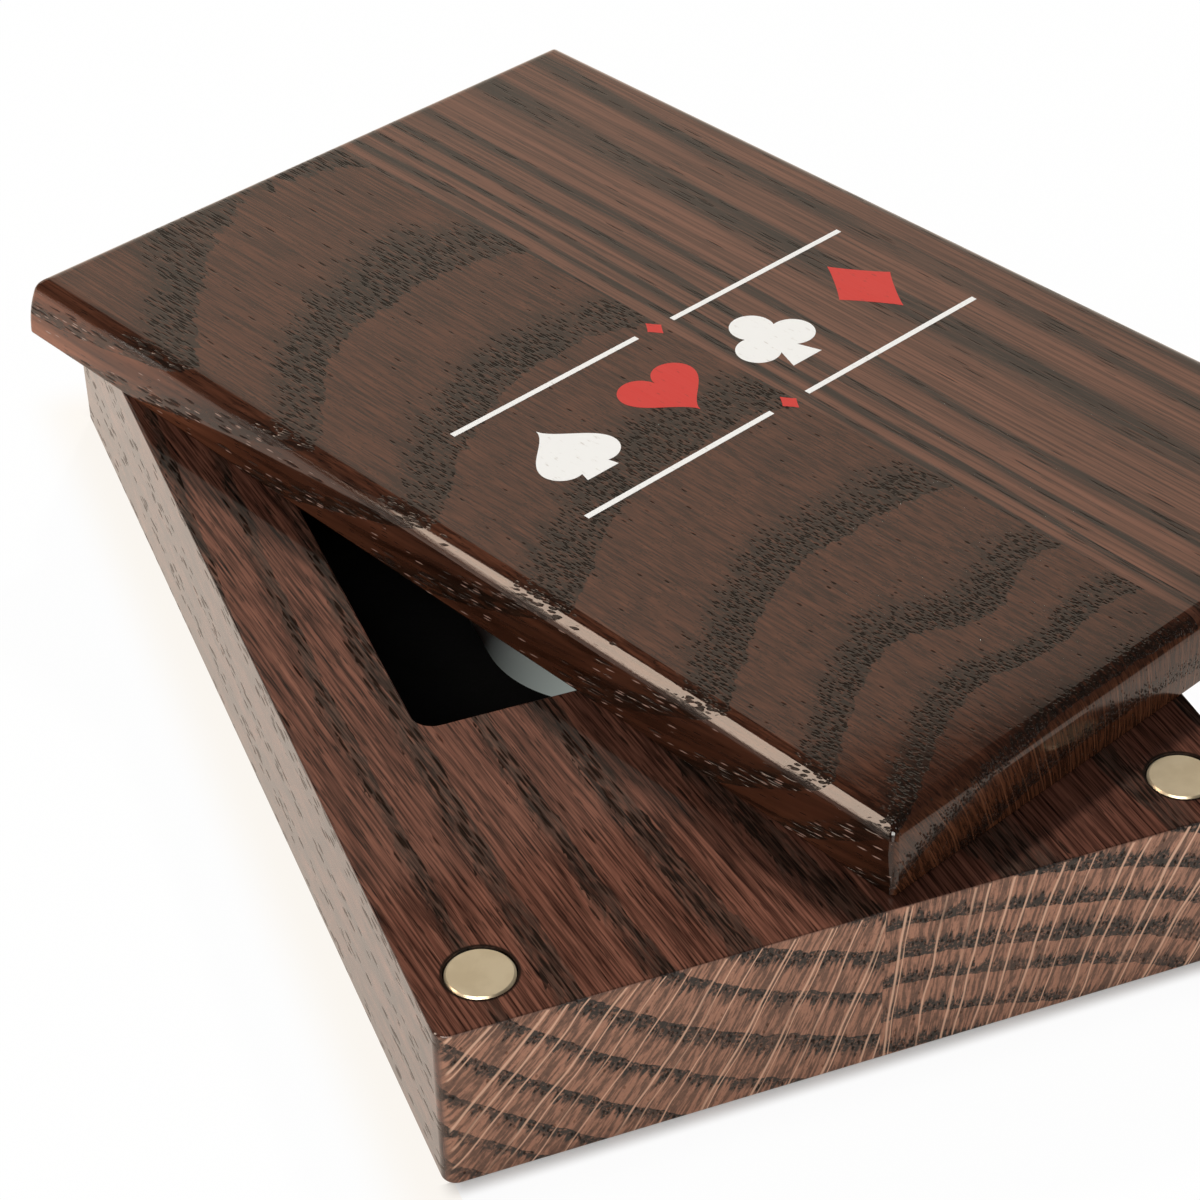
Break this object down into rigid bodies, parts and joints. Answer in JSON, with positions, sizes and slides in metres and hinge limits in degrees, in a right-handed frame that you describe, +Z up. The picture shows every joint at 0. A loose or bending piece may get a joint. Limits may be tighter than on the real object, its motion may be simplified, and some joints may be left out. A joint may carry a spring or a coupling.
{
  "type": "playing card box",
  "caption": "Flat wooden box for a deck of playing cards: a solid base with a milled pocket and a loose magnet-held lid plate lying turned on it.",
  "frame": {"origin": "centre of the base's underside, on the surface that the box stands on", "axes": "+X to the right seen from the near end, +Y along the grain to the far end, +Z up"},
  "size_m": [0.1412, 0.1743, 0.0287],
  "materials": {
    "base_wood": "dark stained open-pored oak or ash, satin",
    "lid_wood": "dark stained open-pored oak or ash, satin lacquer",
    "magnet_nickel": "nickel plated, satin",
    "pocket_felt": "black felt, matt"
  },
  "bodies": {
    "base": {"base_left_board": "base_wood", "base_right_board": "base_wood", "pocket_liner": "pocket_felt", "base_magnet_near_left": "magnet_nickel", "base_magnet_near_right": "magnet_nickel", "base_magnet_far_left": "magnet_nickel", "base_magnet_far_right": "magnet_nickel"},
    "lid": {"lid_left_board": "lid_wood", "lid_right_board": "lid_wood", "lid_magnet_near_left": "magnet_nickel", "lid_magnet_near_right": "magnet_nickel", "lid_magnet_far_left": "magnet_nickel", "lid_magnet_far_right": "magnet_nickel"}
  },
  "joints": [
    {"name": "lid_lift", "type": "slide", "parent": "base", "child": "lid", "axis": [0, 0, 1], "range_m": [0, 0.06]}
  ]
}
